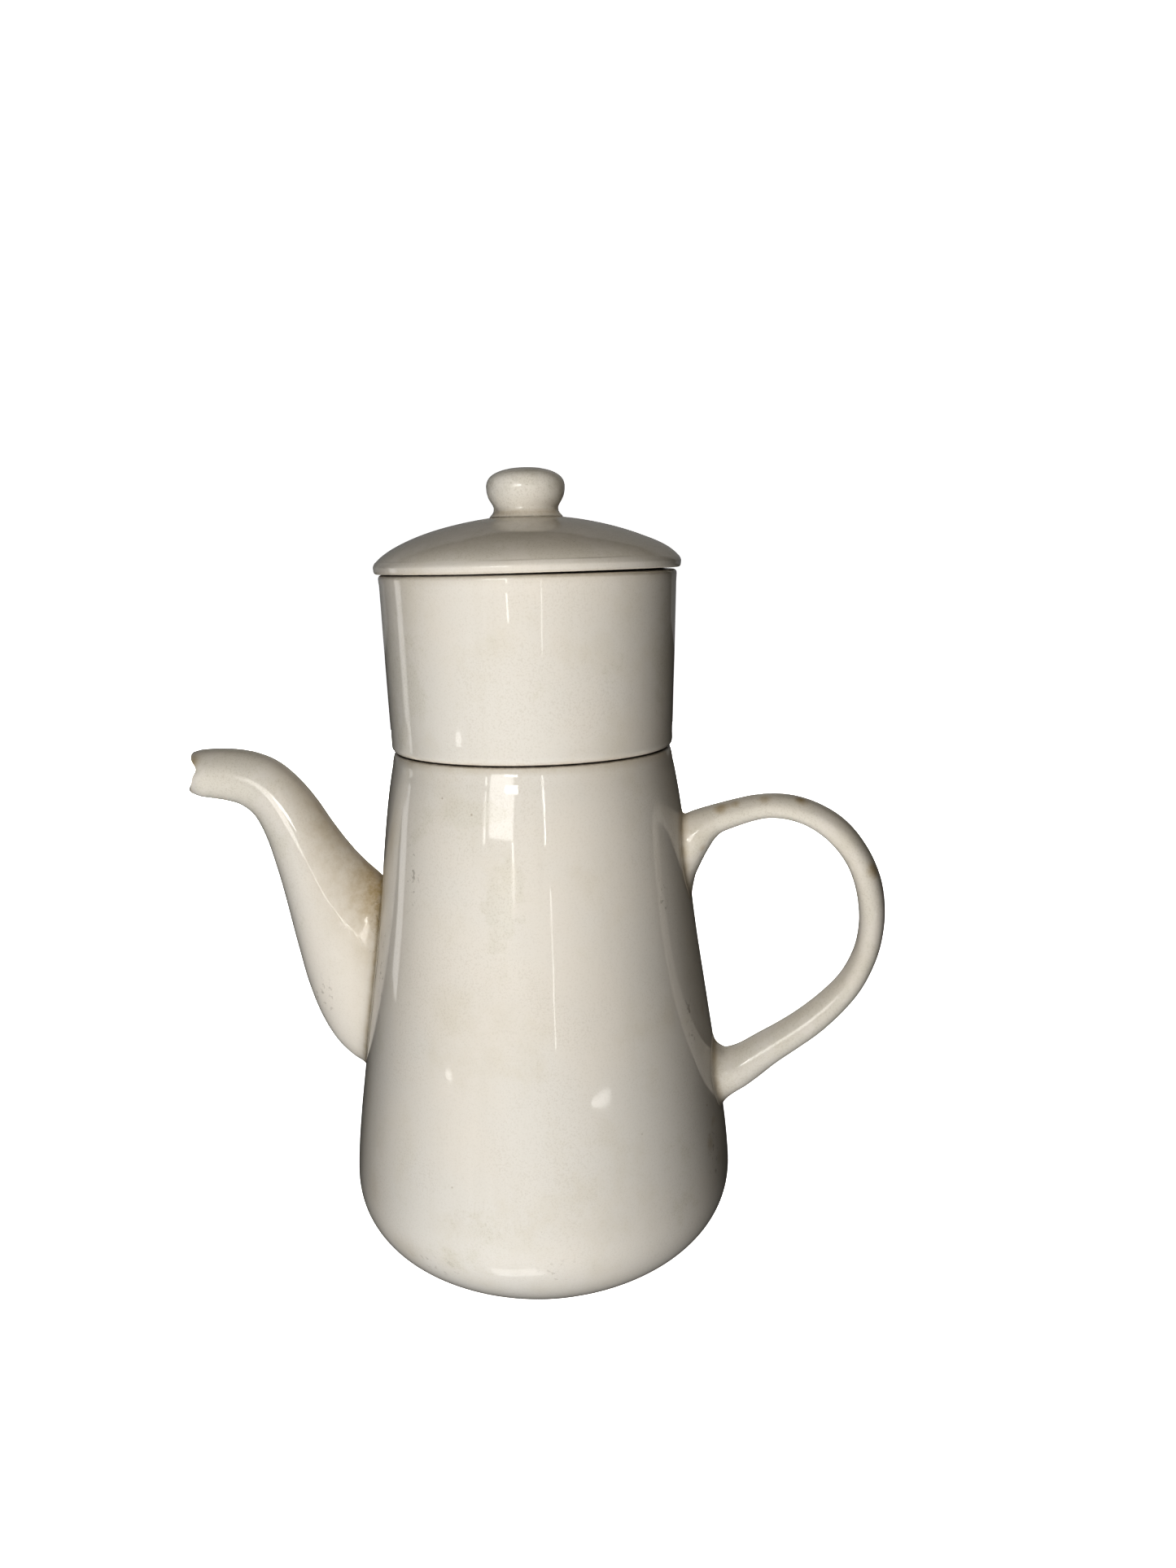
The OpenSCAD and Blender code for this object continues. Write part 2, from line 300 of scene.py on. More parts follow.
# shares of the cream, for its clouds and for the runs down the side
WARM_CLOUD, COOL_CLOUD = (1.0, 0.989, 0.972), (0.985, 0.988, 0.988)
OCHRE_CLOUD, RUN = (0.90, 0.875, 0.80), (0.90, 0.89, 0.86)
SAND_GRAIN, SAND_BED, IRON = (0.50, 0.45, 0.37), (0.70, 0.67, 0.585), (0.30, 0.22, 0.14)
# STAIN_AND_SHADE is the tan of stains, and on the spout's crook and upper side also of painted
# shade
FLECK, STAIN_AND_SHADE, DIRT = (0.20, 0.165, 0.12), (0.45, 0.35, 0.195), (0.085, 0.055, 0.032)
COFFEE_FILM = (0.47, 0.36, 0.22)


class Shader:
    """A new material, with short calls for the nodes that it is built from."""

    def __init__(self, name):
        self.material = bpy.data.materials.new(name)
        self.material.use_nodes = True
        self.surface = self.material.node_tree.nodes["Principled BSDF"]
        self.coord = self.node("ShaderNodeTexCoord").outputs["Object"]

    def node(self, kind, **settings):
        """A new node of a kind, with its settings."""
        node = self.material.node_tree.nodes.new(kind)
        for key, value in settings.items():
            setattr(node, key, value)
        return node

    def put(self, node, values):
        """Sets a node's inputs, each to a number or a colour or from another node's output."""
        for key, value in values.items():
            socket = node.inputs[key]
            if isinstance(value, bpy.types.NodeSocket):
                self.material.node_tree.links.new(value, socket)
            elif socket.type == "RGBA":
                socket.default_value = (*value, 1)
            else:
                socket.default_value = value
        return node.outputs

    def stretched(self, by):
        """The object's own coordinates, scaled along each axis."""
        node = self.node("ShaderNodeMapping")
        return self.put(node, {"Vector": self.coord, "Scale": by})["Vector"]

    def cloud(self, scale, detail, rough, vector=None, offset=0.0):
        """Noise from 0 to 1. Each offset gives another pattern."""
        node = self.node("ShaderNodeTexNoise", noise_dimensions="4D")
        return self.put(node, {"Vector": vector or self.coord, "W": offset, "Scale": scale,
                               "Detail": detail, "Roughness": rough})["Fac"]

    def ramp(self, value, low, high, out_low=0.0, out_high=1.0):
        """A soft step, from out_low where value is low to out_high where it is high."""
        node = self.node("ShaderNodeMapRange", interpolation_type="SMOOTHSTEP")
        return self.put(node, {"Value": value, "From Min": low, "From Max": high,
                               "To Min": out_low, "To Max": out_high})["Result"]

    def fold(self, operation, parts):
        """The parts joined one after another by a sum, a product and so on."""
        total = parts[0]
        for part in parts[1:]:
            node = self.node("ShaderNodeMath", operation=operation)
            total = self.put(node, {0: total, 1: part})[0]
        return total

    def plus(self, *parts):
        return self.fold("ADD", parts)

    def times(self, *parts):
        return self.fold("MULTIPLY", parts)

    def cover(self, share, under, over):
        """One colour covered by another, as far as share says."""
        node = self.node("ShaderNodeMix", data_type="RGBA")
        return self.put(node, {"Factor": share, "A": under, "B": over})["Result"]

    def mark(self, name):
        """A mark painted on the mesh, 0 where the mesh has none."""
        return self.node("ShaderNodeAttribute", attribute_name=name).outputs["Fac"]

    def bump(self, height, strength, depth):
        node = self.node("ShaderNodeBump")
        return self.put(node, {"Height": height, "Strength": strength,
                               "Distance": depth})["Normal"]


def share_of(tint, shares):
    """A tint with each of its channels cut to a share."""
    return tuple(t * share for t, share in zip(tint, shares))


def clouded(s, tint):
    """The glaze's own colour: warm and cool clouds, ochre ones over them, and runs."""
    colour = s.cover(s.ramp(s.cloud(14, 4, 0.6), 0.38, 0.62),
                     share_of(tint, WARM_CLOUD), share_of(tint, COOL_CLOUD))
    ochre = s.ramp(s.cloud(42, 5, 0.62, offset=3), 0.50, 0.72, 0, 0.34)
    colour = s.cover(ochre, colour, share_of(tint, OCHRE_CLOUD))
    runs = s.cloud(9, 4, 0.6, s.stretched((9, 9, 0.9)), offset=7)
    return s.cover(s.ramp(runs, 0.52, 0.70, 0, 0.20), colour, share_of(tint, RUN))


def speckled(s, colour, patch, specks):
    """Sandy grains, a few everywhere and most in the patches, then sparse iron specks."""
    faint = s.ramp(s.cloud(30, 3, 0.6, offset=11), 0.44, 0.62, 0.30, 0.62)
    grains = s.ramp(s.cloud(1500, 2, 0.7, offset=5), 0.48, 0.66)
    sandy = s.times(grains, s.fold("MAXIMUM", (patch, faint)), 0.27)
    colour = s.cover(sandy, colour, SAND_GRAIN)
    colour = s.cover(s.times(patch, 0.26), colour, SAND_BED)
    return s.cover(s.times(specks, 0.55), colour, IRON)


def soiled(s, colour):
    """Dark flecks where dirt has stuck, tan stain that is in places painted shade too, and brown
    dirt in the tightest places.
    """
    fleck = s.ramp(s.cloud(520, 3, 0.6, offset=61), 0.575, 0.63)
    colour = s.cover(s.times(fleck, s.mark("flecks")), colour, FLECK)
    # the stain mark is real stain, and on the spout's crook and upper side also painted shade
    broken = s.ramp(s.cloud(230, 4, 0.7, offset=23), 0.34, 0.66, 0.55, 1.0)
    colour = s.cover(s.times(s.mark("stain_and_shade"), broken), colour, STAIN_AND_SHADE)
    caked = s.ramp(s.cloud(420, 3, 0.7, offset=29), 0.30, 0.60, 0.45, 1.0)
    return s.cover(s.times(s.mark("dirt"), caked), colour, DIRT)


def glaze(name, tint=CREAM, inner=False):
    """Cream glaze, old and lightly soiled; inner adds the film that coffee leaves."""
    s = Shader(name)
    ragged = s.ramp(s.cloud(75, 5, 0.7, offset=13), 0.3, 0.7, -0.4, 0.4)
    patch = s.ramp(s.plus(s.mark("sand"), ragged), 0.38, 0.62)
    cells = s.put(s.node("ShaderNodeTexVoronoi"), {"Vector": s.coord, "Scale": 210})["Distance"]
    sparse = s.ramp(s.cloud(60, 2, 0.5, offset=17), 0.60, 0.68)
    specks = s.times(s.ramp(cells, 0.05, 0.11, 1, 0), sparse)
    colour = soiled(s, speckled(s, clouded(s, tint), patch, specks))
    if inner:
        film = s.ramp(s.cloud(26, 5, 0.65, offset=31), 0.30, 0.72, 0.15, 0.75)
        colour = s.cover(film, colour, COFFEE_FILM)

    smear = s.ramp(s.cloud(34, 5, 0.68, offset=37), 0.46, 0.68, 0.025, 0.085)
    grit = s.ramp(s.cloud(700, 3, 0.7, offset=41), 0.35, 0.75, -0.006, 0.015)
    rough = s.plus(smear, grit, s.times(patch, 0.06), s.times(s.mark("stain_and_shade"), 0.08),
                   s.times(s.mark("dirt"), 0.35))

    waves = s.cloud(55, 2, 0.5, s.stretched((1, 1, 0.45)), offset=43)
    peel = s.cloud(420, 2, 0.5, offset=47)
    drips = s.cloud(1.0, 2, 0.5, s.stretched((330, 330, 16)), offset=53)
    pinholes = s.times(s.ramp(cells, 0.03, 0.11, -1, 0), sparse)
    height = s.plus(s.times(waves, 0.22), s.times(peel, 0.012), s.times(drips, 0.07),
                    s.times(pinholes, 0.10))
    s.put(s.surface, {"Base Color": colour, "Roughness": rough, "IOR": 1.52,
                      "Specular IOR Level": 0.5,
                      "Normal": s.bump(height, strength=0.55, depth=0.00035)})
    return s.material


def bare_clay():
    """The unglazed foot: buff, matt and gritty."""
    s = Shader("bare_clay")
    grain = s.put(s.node("ShaderNodeTexNoise"),
                  {"Vector": s.coord, "Scale": 900, "Detail": 5})["Fac"]
    buff = s.node("ShaderNodeValToRGB")
    dark, pale = buff.color_ramp.elements
    dark.position, dark.color = 0.35, (0.42, 0.34, 0.24, 1)
    pale.position, pale.color = 0.65, (0.66, 0.58, 0.45, 1)
    s.put(s.surface, {"Base Color": s.put(buff, {"Fac": grain})["Color"], "Roughness": 0.85,
                      "Normal": s.bump(grain, strength=0.6, depth=0.0002)})
    return s.material


GLAZE = glaze("cream_glaze")
INNER = glaze("coffee_stained_glaze", inner=True)
# the pale glaze is partly painted light, made lighter than the knob's own tone
PALE_LIT_GLAZE = glaze("pale_lit_glaze", PALE_CREAM_AND_PAINTED_LIGHT)
CLAY = bare_clay()


# ---------------------------------------------------------------- spout and handle keys

# each (upper edge x, z; lower edge x, z; half width), as in the CAD
SPOUT = np.array([
    (-56.2, 139.4, -69.5, 72.0, 14.9), (-58.8, 141.8, -75.8, 78.3, 14.6),
    (-62.3, 144.9, -81.2, 88.0, 14.3), (-66.5, 149.2, -85.3, 100, 13.8),
    (-70.8, 154.5, -88.3, 113, 13.1), (-75.4, 160.8, -91.2, 127, 12.3),
    (-80.5, 168.4, -94.2, 140.3, 11.4), (-86.2, 175.3, -97.6, 152.5, 10.6),
    (-92.5, 181.0, -101.8, 161.4, 10.0), (-99.5, 184.4, -107, 165.8, 9.6),
    (-107, 186.1, -112.5, 167.5, 9.2), (-114.5, 186.5, -118, 168.3, 9.0),
    (-121.5, 186.1, -122.5, 168.9, 8.8), (-124.7, 185.3, -126.0, 170.2, 8.2),
])
# the top of the lip, between the outside and the inside
SPOUT_CREST = (-125.4, 184.0, -126.9, 171.6, 7.2)
# each (side of the pot, z, half height, half width)
SPOUT_ROOT = (-1, 103.8, 34.8, 15.7)
UPPER_HANDLE_ROOT = (1, 149.2, 13.8, 8.6)
LOWER_HANDLE_ROOT = (1, 69.8, 9.9, 9.7)

# the handle's upper root, given as the spout is
UPPER_ROOT = np.array([
    (53.4, 163.4, 56.4, 141.2, 8.3), (55.6, 164.3, 58.8, 146.6, 8.0),
    (58.3, 165.2, 61.3, 151.3, 7.5), (61.4, 166.1, 63.8, 155.0, 7.0),
])
# each (x, z, thickness, width as a share of the grip's)
HANDLE = np.array([
    (66.0, 162.3, 9.8, 1.06), (77.8, 165.7, 8.9, 1), (86.4, 166.1, 8.8, 1),
    (94.6, 164.2, 9.1, 1), (101.8, 160.3, 9.5, 1), (107.8, 154.8, 9.5, 1),
    (112.6, 147.8, 9.3, 1), (115.8, 139.6, 9.3, 1), (117.2, 130.8, 9.2, 1),
    (116.9, 122.6, 8.9, 1), (115.0, 114.0, 9.0, 1), (110.8, 105.0, 9.4, 1),
    (104.9, 97.4, 10.2, 1.02), (97.4, 90.4, 10.8, 1.05), (89.2, 84.4, 11.4, 1.1),
    (81.2, 78.8, 12.4, 1.2), (74.4, 73.8, 13.8, 1.34), (69.4, 71.2, 15.6, 1.46),
])


def grown(root, by):
    """The same root with its oval grown by some millimetres."""
    side, zc, h, w = root
    return side, zc, h + by, w + by


def root_ring(root, n, flare=0.0, depth=0.0, flip=False):
    """An oval ring on the pot's surface, grown by flare and sunk by depth."""
    side, zc, h, w = root
    a = np.linspace(0, 2 * math.pi, n, endpoint=False)
    if flip:
        a = math.pi - a
    ny, nz = h * np.sin(a), w * np.cos(a)
    norm = np.hypot(ny, nz)
    y = w * np.sin(a) + flare * ny / norm
    z = zc + h * np.cos(a) + flare * nz / norm
    return np.c_[side * np.sqrt((pot_r(z) - depth) ** 2 - y * y), y, z]


def edge_ring(key, n, inset=0.0, notch=0.0):
    """An oval ring between an upper and a lower edge, its sides pushed along X by notch."""
    ux, uz, lx, lz, w = key
    top, low = np.array([ux, 0, uz]), np.array([lx, 0, lz])
    h = np.linalg.norm(top - low)
    a = np.linspace(0, 2 * math.pi, n, endpoint=False)[:, None]
    ring = (top + low) / 2 + (top - low) / h * (h / 2 - inset) * np.cos(a)
    ring[:, 1:2] += (w - inset) * np.sin(a)
    ring[:, 0:1] += notch * (np.sin(a) ** 2 + 0.55 * np.exp(-((np.cos(a) - 0.3) / 0.28) ** 2))
    return ring


def grip_ring(i, n):
    """An oval ring square to the handle's run."""
    x, z, t, w = HANDLE[i]
    p, q = HANDLE[max(i - 1, 0)], HANDLE[min(i + 1, len(HANDLE) - 1)]
    run = np.array([q[0] - p[0], 0, q[1] - p[1]])
    run /= np.linalg.norm(run)
    out = np.array([-run[2], 0, run[0]])
    a = np.linspace(0, 2 * math.pi, n, endpoint=False)[:, None]
    ring = np.array([x, 0, z]) + out * np.cos(a) * t / 2
    ring[:, 1:2] += np.sin(a) * w * GRIP_W / 2
    return ring


def smooth(keys, sub):
    """Catmull-Rom through rings, point by point, with sub steps between keys."""
    keys = [np.asarray(k) for k in keys]
    last = len(keys) - 1
    out = []
    for i in range(last):
        a, b, c, d = (keys[max(i - 1, 0)], keys[i], keys[i + 1], keys[min(i + 2, last)])
        for t in np.arange(sub) / sub:
            out.append(0.5 * (2 * b + (c - a) * t + (2 * a - 5 * b + 4 * c - d) * t * t
                              + (3 * b - a - 3 * c + d) * t**3))
    return out + [keys[-1]]


def fillet(root, n, target, flare, flip=False):
    """Rings from under the pot's skin, out along it and up to the target, in a hollow curve."""
    base = root_ring(root, n, 0, 0, flip)
    start = root_ring(root, n, flare, 0, flip)
    rings = [root_ring(root, n, flare + 0.8, 0.6, flip)]
    for t in np.linspace(0, 1, 7, endpoint=False):
        rings.append((1 - t) ** 2 * start + 2 * t * (1 - t) * base + t * t * target)
    return rings


# ---------------------------------------------------------------- pieces

# points round the big turned pieces, and steps between the spout's and the handle's keys
AROUND, STEPS = 224, 8


def pot_profile():
    """The pot's whole section: recess, foot ring, outside, mouth, inside."""
    floor_z = FOOT_RECESS + POT_WALL
    outer = pot_skin(0, 2)
    inner = pot_skin(POT_WALL, 2)
    # the rounded foot and mouth take the place of the skins' ends
    outer = outer[(outer[:, 1] > 0.35) & (outer[:, 1] < POT_H - 0.9)]
    inner = inner[(inner[:, 1] > floor_z + 0.6) & (inner[:, 1] < POT_H - 1.2)][::-1]
    ring = FOOT_R - FOOT_RING_W
    foot = rounded([(ring - 2.0, FOOT_RECESS, 0.6), (ring - 0.8, FOOT_RECESS, 0.5),
                    (ring, 0.0, 0.6), (FOOT_R - 0.15, 0.0, 0.5), (*outer[1], 0)])[:-1]
    foot = foot[foot[:, 1] > -TINY]
    mouth = rounded([(*outer[-1], 0), (MOUTH_R - 0.1, POT_H, 0.9),
                     (MOUTH_R - POT_WALL, POT_H, 0.9), (*inner[0], 0)])[1:-1]
    return np.vstack([[(0, FOOT_RECESS)], foot, outer[1:], mouth, inner, [(0, floor_z)]])


def pot_body():
    """The pot: waves from the wheel, stained seams, bare clay under the foot."""
    pts, faces = revolve(even(pot_profile(), 2.2), AROUND)
    r = np.hypot(pts[:, 0], pts[:, 1])
    z = pts[:, 2]
    out = np.abs(r - pot_r(z)) < 1.0
    inside = ~out & (z > 4) & (z < POT_H - 1)
    # never proud of the CAD's skin, so that the box stays the same
    dent = wobble(pts, 0.12, 0.025, 1) + wobble(pts, 0.02, 0.09, 2) - 0.14
    swell(pts, np.where(out & (z > 3) & (z < POT_H - 3), dent, 0))

    # brown seams round the roots
    stain_and_shade = np.zeros(len(pts))
    for root, reach, strength in ((SPOUT_ROOT, 4.0, 0.36), (UPPER_HANDLE_ROOT, 4.0, 0.40),
                                  (LOWER_HANDLE_ROOT, 3.0, 0.45)):
        side, zc, h, _ = root
        near = (pts[:, 0] * side > 0) & (np.abs(z - zc) < h + 12) & out
        seam = strength * falloff(near_line(pts[near], root_ring(root, 120, 1.2)), reach)
        stain_and_shade[near] = np.maximum(stain_and_shade[near], seam)
    # the joint line under the chamber, the tint of old coffee inside, grime round the foot
    joint = 0.25 * falloff(POT_H - z, 3.0)
    grime = 0.25 * falloff(z, 3.0)
    spots = patches(pts, POT_STAINS)
    stain_and_shade = np.maximum.reduce([stain_and_shade, joint * out, spots * out, grime * out, 0.45 * inside])
    dirt = 0.60 * falloff(POT_H - z, 0.7) * (r > MOUTH_R - 2.5)
    pot = make_mesh("pot_shell", pts, faces, "pot", ["pot_body"], GLAZE,
                    {"stain_and_shade": stain_and_shade, "dirt": dirt, "sand": patches(pts, POT_SAND) * out,
                     "flecks": patches(pts, POT_FLECKS) * out})
    pot.data.materials.append(CLAY)
    for face in pot.data.polygons:
        x, y, height = face.center
        if height < 0.4 * MM and math.hypot(x, y) > 30 * MM:
            face.material_index = 1
    drill_strainer(pot)


def drill_strainer(obj):
    """The strainer holes behind the spout, as the CAD has them."""
    verts, faces = [], []
    n = 20
    around = [2 * math.pi * j / n for j in range(n)]
    for row in range(STRAINER_ROWS):
        z = STRAINER_Z + row * STRAINER_PITCH
        for k in range(-2, 3):
            y = (k + (row % 2) / 2) * STRAINER_PITCH
            if abs(y) >= STRAINER_HALF_W:
                continue
            base = len(verts)
            verts += [(x, y + STRAINER_R * math.cos(a), z + STRAINER_R * math.sin(a))
                      for x in (-48, -70) for a in around]
            faces += [(base + j, base + (j + 1) % n, base + n + (j + 1) % n, base + n + j)
                      for j in range(n)]
            faces.append(tuple(base + j for j in reversed(range(n))))
            faces.append(tuple(base + n + j for j in range(n)))
    mesh = bpy.data.meshes.new("strainer_drill")
    mesh.from_pydata((np.array(verts) * MM).tolist(), [], faces)
    drill = bpy.data.objects.new("strainer_drill", mesh)
    bpy.context.scene.collection.objects.link(drill)
    cut = obj.modifiers.new("strainer", "BOOLEAN")
    cut.operation, cut.solver, cut.object = "DIFFERENCE", "EXACT", drill
    bpy.context.view_layer.update()
    done = bpy.data.meshes.new_from_object(obj.evaluated_get(
        bpy.context.evaluated_depsgraph_get()))
    obj.modifiers.clear()
    obj.data = done
    done.polygons.foreach_set("use_smooth", [True] * len(done.polygons))
    bpy.data.objects.remove(drill)


def spout():
    """The spout: a bent tube luted on over the strainer, open right through."""
    n = 96
    # the mouth's sides are drawn in over the last three rings
    notch = [0.0] * (len(SPOUT) - 3) + [SPOUT_NOTCH * k / 4 for k in (1, 2, 3)]

    def side(inset):
        root = root_ring(grown(SPOUT_ROOT, -inset), n)
        return smooth([root] + [edge_ring(k, n, inset, m) for k, m in zip(SPOUT, notch)],
                      STEPS)

    # a fillet takes the place of the outside's first rings
    outer, inner = side(0)[6:], side(SPOUT_WALL)[::-1]
    crest = edge_ring(SPOUT_CREST, n, 0, SPOUT_NOTCH)
    bend = 2 * crest - (outer[-1] + inner[0]) / 2
    lip = [(1 - t) ** 2 * outer[-1] + 2 * t * (1 - t) * bend + t * t * inner[0]
           for t in np.linspace(0, 1, 11)[1:-1]]
    root = fillet(SPOUT_ROOT, n, outer[0], 2.2)
    inner_root = root_ring(grown(SPOUT_ROOT, -SPOUT_WALL), n, 0, 0.9)
    rings = root + outer + lip + inner + [inner_root]
    pts = np.vstack(rings)
    faces = grid_faces(len(rings), n, loop=True)
    # the outside ends half way over the lip
    is_out = np.arange(len(pts)) < (len(root) + len(outer) + 5) * n
    far = np.clip((np.abs(pts[:, 0]) - 66) / 6, 0, 1) * np.clip((122 + pts[:, 0]) / 4, 0, 1)
    pts = push_out(pts, ring_centres(rings), wobble(pts, 0.18, 0.06, 5) * far * is_out)

    x, z = pts[:, 0], pts[:, 2]
    seam = near_line(pts, root_ring(SPOUT_ROOT, 160, 0.8))
    upward = np.tile(np.cos(np.linspace(0, 2 * math.pi, n, endpoint=False)), len(rings))
    # brown stain along the seam; above it in the crook, and in tan along the spout's upper side by
    # the root, partly stain and partly painted shade
    stain_and_shade = 0.55 * falloff(seam, 2.6) + 0.50 * falloff(seam, 17) * np.clip((z - 120) / 14, 0, 1)
    stain_and_shade += 0.12 * falloff(seam, 14)
    # painted shade, partly stain too: the spout's upper side by the root is tinted darker
    stain_and_shade += 0.40 * np.clip(upward, 0, 1) * np.clip((x + 98) / 22, 0, 1)
    rim = 0.35 * falloff(np.abs(x + 125.5), 3.0)
    stain_and_shade = np.maximum.reduce([stain_and_shade, dabs(pts, SPOUT_LIP_BROWN), rim, 0.55 * ~is_out])
    dirt = 0.50 * falloff(seam, 1.0) * np.clip((z - 96) / 20, 0.5, 1)
    sand = 0.75 * falloff(np.abs(x + 104), 34) * is_out
    flecks = np.maximum(0.8 * falloff(seam, 5) * np.clip((z - 110) / 20, 0, 1),
                        0.3 * falloff(np.hypot(x + 76, z - 98), 10))
    make_mesh("spout_shell", pts, faces, "pot", ["spout"], GLAZE,
              {"stain_and_shade": np.clip(stain_and_shade, 0, 0.95), "dirt": dirt, "sand": sand,
               "flecks": flecks * is_out})


def handle():
    """The pulled loop, with a fillet at each root."""
    n = 64
    upper = root_ring(UPPER_HANDLE_ROOT, n)
    lower = root_ring(LOWER_HANDLE_ROOT, n, flip=True)
    keys = ([upper] + [edge_ring(k, n) for k in UPPER_ROOT]
            + [grip_ring(i, n) for i in range(len(HANDLE))] + [lower])
    run = smooth(keys, STEPS)[STEPS:-STEPS]
    top = fillet(UPPER_HANDLE_ROOT, n, run[0], 1.9)
    low = fillet(LOWER_HANDLE_ROOT, n, run[-1], 2.8, flip=True)
    rings = top + run + low[::-1]
    ends = np.array([rings[0].mean(0), rings[-1].mean(0)])
    pts = np.vstack(rings + [ends])
    faces = grid_faces(len(rings), n, flip=True)
    tip, row = len(rings) * n, (len(rings) - 1) * n
    for j in range(n):
        k = (j + 1) % n
        faces += [(tip, j, k), (tip + 1, row + k, row + j)]
    # hand-pulled unevenness, kept off the roots
    far = np.clip((pts[:, 0] - 68) / 8, 0, 1)
    pts = push_out(pts, np.vstack([ring_centres(rings), ends]),
                   (wobble(pts, 0.30, 0.07, 9) - 0.12) * far)

    stain_and_shade = dabs(pts, HANDLE_BURNS)
    dirt = np.zeros(len(pts))
    for root, flip, reach, strength in ((UPPER_HANDLE_ROOT, False, 4.0, 0.55),
                                        (LOWER_HANDLE_ROOT, True, 3.0, 0.60)):
        seam = near_line(pts, root_ring(root, 120, 0.8, flip=flip))
        stain_and_shade = np.maximum.reduce([stain_and_shade, strength * falloff(seam, reach),
                                   0.10 * falloff(seam, 16)])
        dirt = np.maximum(dirt, 0.22 * falloff(seam, 1.2))
    make_mesh("handle_loop", pts, faces, "pot", ["handle"], GLAZE,
              {"stain_and_shade": stain_and_shade, "dirt": dirt, "sand": np.full(len(pts), HANDLE_SAND)})


def filter_chamber():
    """The chamber, with its spigot below and the ledge that holds the floor."""
    inner_foot, inner_top = CHAMBER_FOOT_R - CHAMBER_WALL, CHAMBER_TOP_R - CHAMBER_WALL
    bore = SPIGOT_R - CHAMBER_WALL
    ledge = bore - 2.2
    z0, z1 = POT_H - SPIGOT_DEPTH, CHAMBER_TOP_Z
    profile = rounded([
        (ledge, z0, 0.5), (SPIGOT_R, z0, 0.9), (SPIGOT_R, SEAT_Z, 0.7),
        (CHAMBER_FOOT_R, SEAT_Z, 2.4), (CHAMBER_TOP_R, z1, 1.6), (inner_top, z1, 1.6),
        (inner_foot, SHOULDER_Z, 1.2), (bore, SHOULDER_Z, 1.0), (bore, z0 + 2, 0.6),
        (ledge, z0 + 2, 0.5),
    ])
    profile = even(np.vstack([profile, profile[:1]]), 2.2)[:-1]
    pts, faces = revolve(profile, AROUND)
    r, z = np.hypot(pts[:, 0], pts[:, 1]), pts[:, 2]
    wall = (r > CHAMBER_FOOT_R - 0.4) & (z > SEAT_Z + 4) & (z < z1 - 3)
    dent = wobble(pts, 0.10, 0.03, 21) + wobble(pts, 0.02, 0.10, 22) - 0.12
    swell(pts, np.where(wall, dent, 0))

    outside = r > CHAMBER_FOOT_R - 3
    from_seat = np.abs(z - SEAT_Z)
    stain_and_shade = np.maximum.reduce([
        0.22 * falloff(z1 - z, 2.5) * outside, 0.30 * falloff(from_seat, 2.0) * outside,
        0.40 * (z < SEAT_Z - 1), 0.30 * (r < inner_foot + 2) * (z > SEAT_Z),
    ])
    dirt = 0.8 * falloff(from_seat, 0.5) * (r > SPIGOT_R + 0.5) * (r < CHAMBER_FOOT_R - 0.8)
    make_mesh("chamber_shell", pts, faces, "filter", ["filter_chamber"], GLAZE,
              {"stain_and_shade": stain_and_shade, "dirt": dirt, "sand": patches(pts, CHAMBER_SAND) * outside})


def lid():
    """The domed lid, with a bull-nose rim and the flange that keeps it in place."""
    dome = [(LID_R, RIM_Z), (LID_R, RIM_Z + 3.5), (LID_R - 12.5, DOME_Z - 3.6), (12.7, DOME_Z)]
    flange_z, inside = LID_Z - 7.6, FLANGE_R - 3.8
    top = cubic(dome, 60)
    under = cubic(dome, 60, LID_WALL)
    under = under[under[:, 0] < inside - 0.5][::-1]
    skirt = rounded([
        (inside, under[-1][1] - 1.4, 0.8), (inside, flange_z, 1.2), (FLANGE_R, flange_z, 1.2),
        (FLANGE_R, LID_Z, 0.7), (LID_R - 0.25, LID_Z, 1.9), (LID_R, RIM_Z, 0),
    ])[:-1]
    profile = np.vstack([[(0, DOME_Z - LID_WALL)], under, skirt, top, [(0, DOME_Z)]])
    pts, faces = revolve(even(profile, 1.8), AROUND)
    r, z = np.hypot(pts[:, 0], pts[:, 1]), pts[:, 2]
    upper = (z > RIM_Z + 1) & (r > 14) & (r < LID_R - 1.0)
    pts[:, 2] += np.where(upper, wobble(pts, 0.22, 0.05, 31) - 0.1, 0)
    # the rim is warped up a little on the handle's side, as hand-made lids are
    lift = 0.40 * np.clip(pts[:, 0] / LID_R + 0.2, 0, 1) * np.clip((r - 40) / 8, 0, 1)
    pts[:, 2] += np.where(z < DOME_Z - 4, lift, 0)

    outside = (r > FLANGE_R + 0.5) | (z > LID_Z + 6)
    flecks = np.zeros(len(pts))
    for angle, r0, reach, strength in LID_FLECKS:
        d = np.hypot(pts[:, 0] - r0 * math.cos(angle), pts[:, 1] - r0 * math.sin(angle))
        flecks = np.maximum(flecks, strength * falloff(d, reach) * (z > LID_Z + 4))
    # the dome is darker in a ring round the knob's foot, and tan at the rim's seat and underneath
    stain_and_shade = np.maximum.reduce([
        0.42 * falloff(np.abs(r - 13.2), 3.2) * (z > DOME_Z - 3),
        0.28 * falloff(np.abs(z - LID_Z), 1.6) * outside, 0.22 * ~outside,
    ])
    # a dark line at the rim's seat, and darker again right round the knob's foot
    dirt = np.maximum(
        0.9 * falloff(np.abs(z - LID_Z), 0.6) * (r > FLANGE_R) * (r < LID_R - 1.0),
        0.30 * falloff(np.abs(r - 12.9), 0.8) * (z > DOME_Z - 2))
    make_mesh("lid_dome", pts, faces, "lid", ["lid"], GLAZE,
              {"stain_and_shade": stain_and_shade, "dirt": dirt, "sand": LID_SAND * upper, "flecks": flecks})


